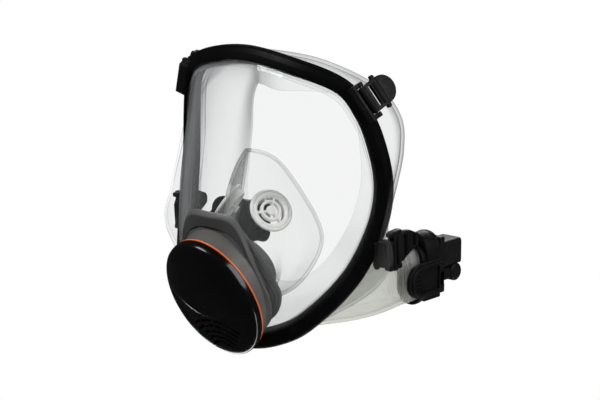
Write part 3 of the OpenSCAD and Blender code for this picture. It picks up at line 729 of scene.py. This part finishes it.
def cover_height(x, y):
    """Front face of the cover: a dome with a raised brow that ends in a smile-shaped step, and soft dimples."""
    u, v = x / COVER_A, y / COVER_B
    r2 = np.clip(u * u + v * v, 0, 1)
    dome = COVER_RISE * (0.1 + 0.9 * np.sqrt(np.clip(1 - r2 ** 1.6, 0, 1)))
    smile = y - (4.0 - 13.0 * np.clip(1 - (x / 24.0) ** 2, -1.0, 1))
    step = 1 / (1 + np.exp(-smile / 1.1))
    fade = np.clip((0.93 - np.sqrt(r2)) / 0.3, 0, 1)
    dome = dome + (1.5 * step - 0.7) * fade * fade * (3 - 2 * fade)
    for cx, cy, r, d in ((-21, -12, 5.5, 0.5), (12, -7, 5, 0.45), (24, -14, 5, 0.4), (-22, 20, 5, 0.35)):
        dome = dome - d * np.exp(-((x - cx) ** 2 + (y - cy) ** 2) / r ** 2)
    return dome


def cover_shape():
    loops = []
    a_in, b_in = COVER_A - 2.2, COVER_B - 2.2
    loops.append(oval(a_in, b_in, -3.0, SPOKES))
    loops.append(oval(COVER_A - 0.5, COVER_B - 0.5, -3.0, SPOKES))
    loops.append(oval(COVER_A, COVER_B, -2.5, SPOKES))
    for k in range(RADIAL):
        s = 1 - (k / (RADIAL - 1)) ** 1.25 * 0.985
        if k == 0:
            loops.append(oval(COVER_A, COVER_B, 0.3, SPOKES))
            continue
        p = oval(COVER_A * s, COVER_B * s, 0, SPOKES)
        p[:, 2] = cover_height(p[:, 0], p[:, 1])
        loops.append(p)
    outer = loops[2:]
    inner = []
    for k in range(0, RADIAL, 4):
        s = 1 - (k / (RADIAL - 1)) ** 1.25 * 0.985
        p = oval(a_in * s, b_in * s, 0, SPOKES)
        p[:, 2] = cover_height(p[:, 0], p[:, 1]) - 1.9 if k else -2.0
        inner.append(p)
    loops = [loops[0], loops[1]] + outer
    shape = Shape().skin(loops + inner[::-1], close=True)
    return shape


def arc_slot(radius, width, centre, a0, a1, z0, z1, n=40):
    """Curved slot cutter: an arc band with round ends."""
    t = np.radians(np.linspace(a0, a1, n))

    def arc(r):
        return [(centre[0] + r * math.cos(v), centre[1] + r * math.sin(v)) for v in t]

    mid, outer, inner = arc(radius), arc(radius + width / 2), arc(radius - width / 2)

    def cap(c, start):
        out = []
        for k in range(1, 6):
            w = start + math.pi * k / 6
            out.append((c[0] + width / 2 * math.cos(w), c[1] + width / 2 * math.sin(w)))
        return out
    outline = outer + cap(mid[-1], t[-1]) + inner[::-1] + cap(mid[0], t[0] + math.pi)
    p = np.array(outline)
    return Shape().skin([np.column_stack([p, np.full(len(p), z0)]), np.column_stack([p, np.full(len(p), z1)])])


slot_cutters = []
SLOT_PITCH, SLOT_W, SLOT_CENTRE = 4.6, 2.0, (0, -41)
for k in range(2, 7):
    for a0, a1 in ((36 + 2 * k, 86), (94, 144 - 2 * k)):
        cutter = arc_slot(1.0 + k * SLOT_PITCH, SLOT_W, SLOT_CENTRE, a0, a1, 1.5, 20)
        slot_cutters.append(cutter.moved(ON_MODULE))
cover = cover_shape().moved(ON_MODULE)
make("module_cover", cover, MAT["cover_black"], body="front_cover", replaces=("front_cover",),
     cut=slot_cutters, sharp=35)

# ------------------------------------------------------------------ air ducts
DUCT_ROUTE = [(59.5, -23, -59), (67.5, -12, -57.5), (75.5, -1, -55.5), (81, 10.5, -53.5), (84, 22, -52.5)]
DUCT_W, DUCT_H, DUCT_T = 8.5, 18.0, 1.8
ROOT_LEAN, ROOT_W, ROOT_H = np.array([0.46, 0.31, 0.83]), 5.0, 28.0
DUCT_AROUND, DUCT_ALONG = 120, 120
DUCT_RIBS = (0.665, 0.72, 0.775, 0.83)  # shares of the duct's length


def duct_frames():
    s = np.linspace(0, len(DUCT_ROUTE) - 1, DUCT_ALONG + 1)
    c = open_curve(DUCT_ROUTE, s)
    along = unit(np.gradient(c, axis=0))
    upright = np.cross(unit(np.cross(along, np.array([0.0, 0, 1]))), along)
    share_ = s / (len(DUCT_ROUTE) - 1)
    turn = np.minimum(1, 1.5 * share_)[:, None]
    up = unit(ROOT_LEAN + (upright - ROOT_LEAN) * turn)
    return share_, c, along, unit(np.cross(along, up)), up


def smooth(a, b, x):
    t = np.clip((x - a) / (b - a), 0, 1)
    return t * t * (3 - 2 * t)


def duct_loops(inset, dressed):
    share_, c, along, side, up = duct_frames()
    root = 1 - np.minimum(1, 1.5 * share_)
    t = np.arange(DUCT_AROUND) * TAU / DUCT_AROUND
    x = np.sign(np.sin(t)) * np.abs(np.sin(t)) ** 0.8
    z = np.sign(np.cos(t)) * np.abs(np.cos(t)) ** 0.8
    loops = []
    for k in range(DUCT_ALONG + 1):
        w, h = DUCT_W - inset + (ROOT_W - DUCT_W) * root[k], DUCT_H - inset + (ROOT_H - DUCT_H) * root[k]
        bump = np.zeros(DUCT_AROUND)
        if dressed:
            s = share_[k]
            # A raised panel with a groove along it, a bead along each seam and round the root, and bellows ribs
            up_mm = z * h
            shape_ = (1 - smooth(6.6, 7.2, up_mm)) * smooth(-8.2 - 3 * root[k], -7.6 - 3 * root[k], up_mm)
            panel = smooth(0.16, 0.175, s) * (1 - smooth(0.645, 0.66, s)) * shape_
            bump += 1.1 * panel * (np.abs(x) > 0.5)
            groove = smooth(0.19, 0.22, s) * (1 - smooth(0.60, 0.63, s)) * np.exp(-((up_mm - 1.5) / 0.5) ** 2)
            bump -= 0.9 * groove * (np.abs(x) > 0.5)
            bump += 0.8 * np.exp(-((np.abs(z) - 1.0) / 0.035) ** 2) * (1 - smooth(0.66, 0.7, s))
            bump += 0.9 * np.exp(-((s - 0.035) / 0.02) ** 2)
            for at in DUCT_RIBS:
                bump += 0.8 * np.exp(-((s - at) / 0.012) ** 2)
        loops.append(c[k] + side[k] * (x * (w + bump))[:, None] + up[k] * (z * h + np.sign(z) * bump * 0.3)[:, None])
    return loops


for side in SIDES:
    shape = Shape().skin(duct_loops(0, True) + duct_loops(DUCT_T, False)[::-1], close=True)
    if side == "right":
        shape.moved(MIRROR)
    make(f"duct_{side}", shape, MAT["duct_silicone"], replaces=(f"air_duct_{side}",), sharp=50)

# ------------------------------------------------------------------ quick connectors
BODY_W, BODY_H, BODY_RISE, BODY_RUN, END_T = 10.8, 23.0, 4.0, 15.0, 5.0
SLEEVE_W, SLEEVE_H, SLEEVE_T, SLEEVE_Y = 17.2, 17.5, 2.4, 9.25
KNOB_Y, KNOB_Z, KNOB_R, PADDLE_Y = -4.1, 34.4, 6.1, -0.4


def stadium(w, h, n=20):
    t = np.linspace(0, math.pi, n)
    top = np.column_stack([w * np.cos(t), (h - w) + w * np.sin(t)])
    bottom = -top
    return np.vstack([top, bottom])


def stadium_tube(w, h, wall, z0, z1, edge=0.6, lift=0.0):
    """Tube with a round-ended slot section and rounded rims."""
    out, ins = stadium(w, h), stadium(w - wall, h - wall)
    small = stadium(w - edge, h - edge)
    wide = stadium(w - wall + edge * 0.6, h - wall + edge * 0.6)
    eased = stadium(w - edge * 0.3, h - edge * 0.3)
    rows = [(ins, z0 + edge * 0.6), (wide, z0), (small, z0), (eased, z0 + edge * 0.3),
            (out, z0 + edge), (out, z1 - edge), (eased, z1 - edge * 0.3), (small, z1),
            (wide, z1), (ins, z1 - edge * 0.6)]
    return Shape().skin([np.column_stack([p[:, 0], p[:, 1] + lift, np.full(len(p), z)]) for p, z in rows], close=True)


def square_tube(x, y, wall, z0, z1, cy, corner=1.4, edge=0.5):
    out = box_outline(-x, x, cy - y, cy + y, corner, 5)
    ins = box_outline(-x + wall, x - wall, cy - y + wall, cy + y - wall, corner * 0.5, 5)
    small = box_outline(-x + edge, x - edge, cy - y + edge, cy + y - edge, corner * 0.8, 5)
    rows = [(ins, z0), (small, z0), (out, z0 + edge), (out, z1 - edge), (small, z1), (ins, z1)]
    return Shape().skin([np.column_stack([p, np.full(len(p), z)]) for p, z in rows], close=True)


def d_outline(x0, reach, half, n=24):
    """D shape: straight edge at x0, round end of radius half at reach."""
    t = np.linspace(-math.pi / 2, math.pi / 2, n)
    curve_ = [(reach + half * math.cos(v), half * math.sin(v)) for v in t]
    return np.array([(x0, -half)] + curve_ + [(x0, half)])


for side in SIDES:
    at = ON_CONNECTOR[side]
    cuff = stadium_tube(BODY_W, 20.6, 2.0, -4, -0.3)
    make(f"connector_cuff_{side}", cuff.moved(at), MAT["fitting_black"],
         replaces=(f"duct_cuff_{side}",))
    body = stadium_tube(BODY_W, BODY_H, 2.4, 0, BODY_RUN, 0.9, BODY_RISE)
    body.joined(stadium_tube(BODY_W + 0.5, BODY_H + 0.5, 1.6, 0.6, 3.0, 0.6, BODY_RISE))
    # A front wall closes the body round the duct
    mouth_ = stadium(DUCT_W + 0.2, DUCT_H + 0.2)
    wall_ = stadium(BODY_W - 0.6, BODY_H - 0.6) + np.array([0, BODY_RISE])
    body.joined(Shape().skin([np.column_stack([q, np.full(len(q), z)]) for q, z in
                              ((mouth_, 2.4), (wall_, 2.4), (wall_, 0.5), (mouth_, 0.5))], close=True))
    body.joined(stadium_tube(BODY_W + 0.3, BODY_H + 0.3, 1.6, 11.5, 13.0, 0.5, BODY_RISE))
    # The end plate leaves the sleeve's way through open
    half_w, low_y, high_y = SLEEVE_W / 2 - 0.4, SLEEVE_Y - SLEEVE_H / 2 + 0.4, SLEEVE_Y + SLEEVE_H / 2 - 0.4
    z0, z1 = BODY_RUN - 0.2, BODY_RUN + END_T
    body.joined(block(-BODY_W, BODY_W, high_y, 23, z0, z1, 1.6, 0.8))
    body.joined(block(-BODY_W, BODY_W, -14, low_y, z0, z1, 1.6, 0.8))
    for k in (-1, 1):
        x0, x1 = sorted((k * half_w, k * BODY_W))
        body.joined(block(x0, x1, -10, 19.5, z0, z1, 0.8, 0.8))
    body.joined(block(-8, 8, -18.6, -12.6, 2, 19.5, 1.2, 0.8))
    body.joined(block(-9.2, 9.2, -15.6, -9.0, 17.0, 22.5, 1.2, 0.8))
    body.joined(block(-8, 8, -8.4, -0.5, 19, KNOB_Z, 1.0, 0.8))
    body.joined(block(-9.0, -7.6, -7.4, -1.6, 19, KNOB_Z - 5, 0.6, 0.5))
    body.joined(rod((-10, KNOB_Y, KNOB_Z), (10, KNOB_Y, KNOB_Z), KNOB_R, 48, 1.6))
    for k in (-1, 1):
        body.joined(rod((k * 9.6, KNOB_Y, KNOB_Z), (k * 10.6, KNOB_Y, KNOB_Z), 4.0, 40, 0.5))
    make(f"connector_{side}", body.moved(at), MAT["fitting_black"],
         replaces=(f"connector_body_{side}",))
    sleeve = square_tube(SLEEVE_W / 2, SLEEVE_H / 2, SLEEVE_T, 11, 42, SLEEVE_Y, 2.6, 0.7)
    make(f"hose_sleeve_{side}", sleeve.moved(at), MAT["fitting_black"],
         replaces=(f"outlet_sleeve_{side}",))
    ring = square_tube(SLEEVE_W / 2 - SLEEVE_T + 0.2, SLEEVE_H / 2 - SLEEVE_T + 0.2, 1.2, 37, 39, SLEEVE_Y, 1.2, 0.4)
    make(f"sleeve_ring_{side}", ring.moved(at), MAT["gasket_black"],
         replaces=(f"sleeve_oring_{side}",))
    # The paddle is built flat, then turned so that its face looks outward
    flip = pose((-BODY_W - 2.6, PADDLE_Y, 0), turned(0, -90, 0))
    paddle = prism(d_outline(8.0, -14.0, -11.5)[::-1], 0, 3.3, 0.9, 4)
    tier = prism(d_outline(6.6, -13.8, -9.9)[::-1], 2.6, 4.4, 0.8, 4)
    pocket = prism(d_outline(4.6, -13.6, -7.6)[::-1], 3.2, 7.0, 0.05, 1)
    ribs = Shape()
    for k in range(-2, 3):
        reach = -13.6 - math.sqrt(max(0.0, 6.6 ** 2 - (k * 2.7) ** 2))
        ribs.joined(block(reach, reach + 6.5, k * 2.7 - 0.5, k * 2.7 + 0.5, 3.0, 4.1, 0.4, 0.35))
    for s_ in (paddle, tier, pocket, ribs):
        s_.moved(flip).moved(at)
    make(f"release_paddle_{side}", paddle, MAT["fitting_black"],
         body=f"release_button_{side}", replaces=(f"release_button_{side}",), join=(tier,), cut=(pocket,), extra=ribs)

# ------------------------------------------------------------------ strap fittings
BARREL_R, EAR_T = 2.2, 3.0


def ear(y, drop):
    s = rod((0, y - EAR_T / 2, 0), (0, y + EAR_T / 2, 0), BARREL_R, 40, 0.5)
    tall = block(-2 * BARREL_R, 0.0, y - EAR_T / 2, y + EAR_T / 2, -drop, 1.0, 0.5, 0.5)
    return s.joined(tall)


def lug(width, drop):
    s = Shape()
    for k in (-1, 1):
        s.joined(ear(k * (width + EAR_T) / 2, drop))
    back, reach = -2 * BARREL_R, width / 2 + EAR_T
    s.joined(block(back - 2, back + 0.4, -reach, reach, -drop, 1.0, 0.7, 0.5))
    return s


def across_pin(outline, low_, high_, edge_=0.6):
    """Block between two heights along the pin, on an outline in the plane across it."""
    swap = np.eye(4)[[0, 2, 1, 3]]
    return prism(outline, low_, high_, edge_).moved(swap)


for side in SIDES:
    make(f"upper_bracket_{side}", lug(19.6, 6).moved(ON_UPPER[side]), MAT["fitting_black"],
         replaces=(f"upper_lug_{side}",))
    loop = prism(rounded([(0, -9.5), (9.0, -9.5), (9.0, -12), (12.2, -12), (12.2, 12), (9.0, 12), (9.0, 9.5),
                          (0, 9.5)], [0.6, 0.8, 1.6, 1.6, 1.6, 1.6, 0.8, 0.6], 4), -1.5, 1.5, 0.7)
    slot_ = block(3.8, 6.4, -7.5, 7.5, -4, 4, 0.9, 0.01)
    tab = prism(np.array([(11.5, -9.5)] + [(13 + 9.5 * math.cos(v), 9.5 * math.sin(v))
                for v in np.linspace(-math.pi / 2, math.pi / 2, 28)] + [(11.5, 9.5)]), -0.8, 1.8, 0.8, 4)
    barrel = rod((0, -9.4, 0), (0, 9.4, 0), BARREL_R, 40, 0.4)
    bar = rod((8.6, -7.6, 1.4), (8.6, 7.6, 1.4), 1.3, 20, 0.4)
    for s_ in (slot_, tab, barrel, bar, loop):
        s_.moved(ON_UPPER[side])
    make(f"upper_clip_{side}", loop, MAT["fitting_black"], body=f"upper_buckle_{side}",
         replaces=(f"upper_buckle_{side}",), join=(tab, barrel, bar), cut=(slot_,))
    # The lower bracket is an arm from the side of the frame out and back to the pin, with upright ribs
    arm = across_pin(rounded([(-14, -10), (-9.5, 2.6), (-3, 2.6), (-3, -2.6), (-6, -4), (-9, -10)],
                             [0.5, 1.6, 0.6, 0.6, 0.6, 0.5]), -11, 7.2, 1.2)
    arm.joined(across_pin(rounded([(-7, -2.6), (-7, 2.6), (-3, 2.6), (-3, -2.6)], 0.6), -12.8, 12.8, 0.8))
    for x_, z_, r_, low_, high_ in ((-12.9, -7.4, 1.9, -11.9, 6.4), (-10.6, -0.6, 1.8, -12.2, 6.0),
                                    (-6.4, 2.3, 1.4, -12.4, 8.6)):
        arm.joined(rod((x_, low_, z_), (x_, high_, z_), r_, 32, 1.1))
    for k in (-1, 1):
        mid = k * 11.3
        arm.joined(across_pin(rounded([(-11, -1), (-11, 2.6), (0, 2.6), (0, -2.6), (-6, -2.6)],
                                      [0.8, 1.2, 0.3, 0.3, 0.8]), mid - EAR_T / 2, mid + EAR_T / 2, 0.7))
        arm.joined(rod((0, mid - EAR_T / 2, 0), (0, mid + EAR_T / 2, 0), 2.7, 40, 0.6))
        arm.joined(block(-7.6, -4.2, mid - EAR_T / 2 - 0.3, mid + EAR_T / 2 + 0.3, 1.4, 3.3, 0.6, 0.5))
    make(f"lower_bracket_{side}", arm.moved(ON_LOWER[side]), MAT["fitting_black"],
         replaces=(f"lower_lug_{side}",))
    wing = prism(rounded([(0.6, -9.0), (3.6, -9.2), (6, -7.6), (15.8, -3.2), (19.4, -0.6), (19.8, 3.6), (18.8, 6),
                          (11.8, 9.6), (5.4, 10.8), (3.4, 10.2), (0.6, 9.0)], 1.4, 4), -2, 2, 0.6)
    grip = block(14.4, 17.4, -1.5, 7.3, 1.2, 4.0, 1.2, 0.9)
    ridge = rod((8.6, -5.4, 2.0), (8.6, 8.4, 2.0), 0.9, 20, 0.4)
    ridge2 = rod((11.4, -4.0, 1.9), (11.4, 8.0, 1.9), 0.7, 20, 0.4)
    barrel = rod((0, -9.4, 0), (0, 9.4, 0), BARREL_R, 40, 0.4)
    slot_ = block(4.4, 7.2, -5.6, 8.4, -5, 8, 0.8, 0.01)
    trim = grip.joined(ridge).joined(ridge2).joined(barrel)
    for s_ in (trim, slot_, wing):
        s_.moved(ON_LOWER[side])
    make(f"lower_clip_{side}", wing, MAT["fitting_black"], body=f"lower_buckle_{side}",
         replaces=(f"lower_buckle_{side}",), cut=(slot_,), extra=trim)

# ------------------------------------------------------------------ CAD nodes that stay
kept = {"exhalation_port": ("ring_grey", "housing_grey"), "port_screws": ("steel", "steel"),
        "exhalation_valve_seat": ("valve_white", "valve_white"),
        "exhalation_valve_disc": ("cup_silicone", "clear_silicone")}
for side in SIDES:
    for n in ("upper_pin", "lower_pin", "button_spring_post"):
        kept[f"{n}_{side}"] = ("steel", "steel")
for name, (material, slot) in kept.items():
    o = NODES[name]
    o.data.materials.clear()
    o.data.materials.append(MAT[material])

# ------------------------------------------------------------------ stage, light and camera
low = Vector(CAD_BOX[0])
floor_mat, t, out = new_material("pale floor")
p = node(t, "ShaderNodeBsdfPrincipled", Roughness=0.9)
p.inputs["Specular IOR Level"].default_value = 0.1
tone = grain(t, 3.0, 2.0)
pale = ramp(t, tone.outputs["Fac"], [(0.3, (0.62, 0.62, 0.62)), (0.7, (0.65, 0.65, 0.65))])
t.links.new(pale.outputs["Color"], p.inputs["Base Color"])
# The floor is seen as an evenly lit white sweep, and lights the mask from below as a pale floor
sweep = node(t, "ShaderNodeEmission", Strength=1.0)
looked_at = t.nodes.new("ShaderNodeLightPath")
shown = t.nodes.new("ShaderNodeMixShader")
t.links.new(looked_at.outputs["Is Camera Ray"], shown.inputs[0])
t.links.new(p.outputs[0], shown.inputs[1])
t.links.new(sweep.outputs[0], shown.inputs[2])
t.links.new(shown.outputs[0], out.inputs["Surface"])
floor_mesh = bpy.data.meshes.new("floor")
SPAN = 30.0
floor_mesh.from_pydata([(-SPAN, -SPAN, 0), (SPAN, -SPAN, 0), (SPAN, SPAN, 0), (-SPAN, SPAN, 0)], [], [(0, 1, 2, 3)])
floor = bpy.data.objects.new("floor", floor_mesh)
FLOOR_GAP = 0.004
floor.location = (0, 0, low.z - FLOOR_GAP)
floor_mesh.materials.append(floor_mat)
floor.visible_glossy = False
bpy.context.scene.collection.objects.link(floor)

scene = bpy.context.scene
world = bpy.data.worlds.new("studio")
scene.world = world
world.use_nodes = True
wt = world.node_tree
wt.nodes.clear()
wout = wt.nodes.new("ShaderNodeOutputWorld")
WHITE = (1, 1, 1, 1)
seen = node(wt, "ShaderNodeBackground", Color=WHITE, Strength=1.0)
felt = node(wt, "ShaderNodeBackground", Color=WHITE, Strength=0.45)
# Glossy surfaces mirror a dark room, as they do between black flags in a studio
mirrored_room = node(wt, "ShaderNodeBackground", Color=WHITE)
# A narrow bright strip below and behind, seen only in mirror reflections, gives the cover its glint
facing = wt.nodes.new("ShaderNodeTexCoord")
parts = wt.nodes.new("ShaderNodeSeparateXYZ")
wt.links.new(facing.outputs["Generated"], parts.inputs[0])
STRIP_Y, STRIP_HALF, STRIP_BELOW, STRIP_GAIN, ROOM_DIM = 0.46, 0.06, -0.5, 5.0, 0.03
strip = maths(wt, "COMPARE", parts.outputs["Y"], STRIP_Y, STRIP_HALF)
under = maths(wt, "LESS_THAN", parts.outputs["Z"], STRIP_BELOW)
glint = maths(wt, "MULTIPLY_ADD", maths(wt, "MULTIPLY", strip, under), STRIP_GAIN, ROOM_DIM)
wt.links.new(glint, mirrored_room.inputs["Strength"])
path = wt.nodes.new("ShaderNodeLightPath")
room = wt.nodes.new("ShaderNodeMixShader")
wt.links.new(path.outputs["Is Glossy Ray"], room.inputs[0])
wt.links.new(felt.outputs[0], room.inputs[1])
wt.links.new(mirrored_room.outputs[0], room.inputs[2])
pick = wt.nodes.new("ShaderNodeMixShader")
wt.links.new(path.outputs["Is Camera Ray"], pick.inputs[0])
wt.links.new(room.outputs[0], pick.inputs[1])
wt.links.new(seen.outputs[0], pick.inputs[2])
wt.links.new(pick.outputs[0], wout.inputs["Surface"])


def soft_light(name, at, to, size, watts, size_y=None):
    light = bpy.data.lights.new(name, "AREA")
    light.shape = "RECTANGLE"
    light.size = size
    light.size_y = size_y or size
    light.energy = watts
    o = bpy.data.objects.new(name, light)
    o.location = at
    o.rotation_euler = (Vector(to) - Vector(at)).to_track_quat("-Z", "Y").to_euler()
    o.visible_camera = False
    scene.collection.objects.link(o)


TARGET = Vector((0.0157, -0.01245, -0.00715))
AZ, EL, DIST = math.radians(40), math.radians(12.7), 1.5
SENSOR, LENS = 36.0, 136.4
VIEW = Vector((math.sin(AZ) * math.cos(EL), -math.cos(AZ) * math.cos(EL), math.sin(EL)))
soft_light("key", TARGET + Vector((-0.25, -0.75, 0.95)), TARGET, 0.55, 9.0)
soft_light("side", TARGET + Vector((1.0, 0.25, 0.45)), TARGET, 0.45, 5.0, 0.8)
soft_light("back", TARGET + Vector((-0.6, 0.9, 0.6)), TARGET, 0.7, 6.0)

cam = bpy.data.cameras.new("camera")
cam.sensor_width, cam.lens = SENSOR, LENS
cam_obj = bpy.data.objects.new("camera", cam)
cam_obj.location = TARGET + VIEW * DIST
cam_obj.rotation_euler = (TARGET - cam_obj.location).to_track_quat("-Z", "Y").to_euler()
scene.collection.objects.link(cam_obj)
scene.camera = cam_obj
scene.view_settings.view_transform = "Standard"
scene.cycles.transparent_max_bounces = 32
scene.cycles.max_bounces = 10
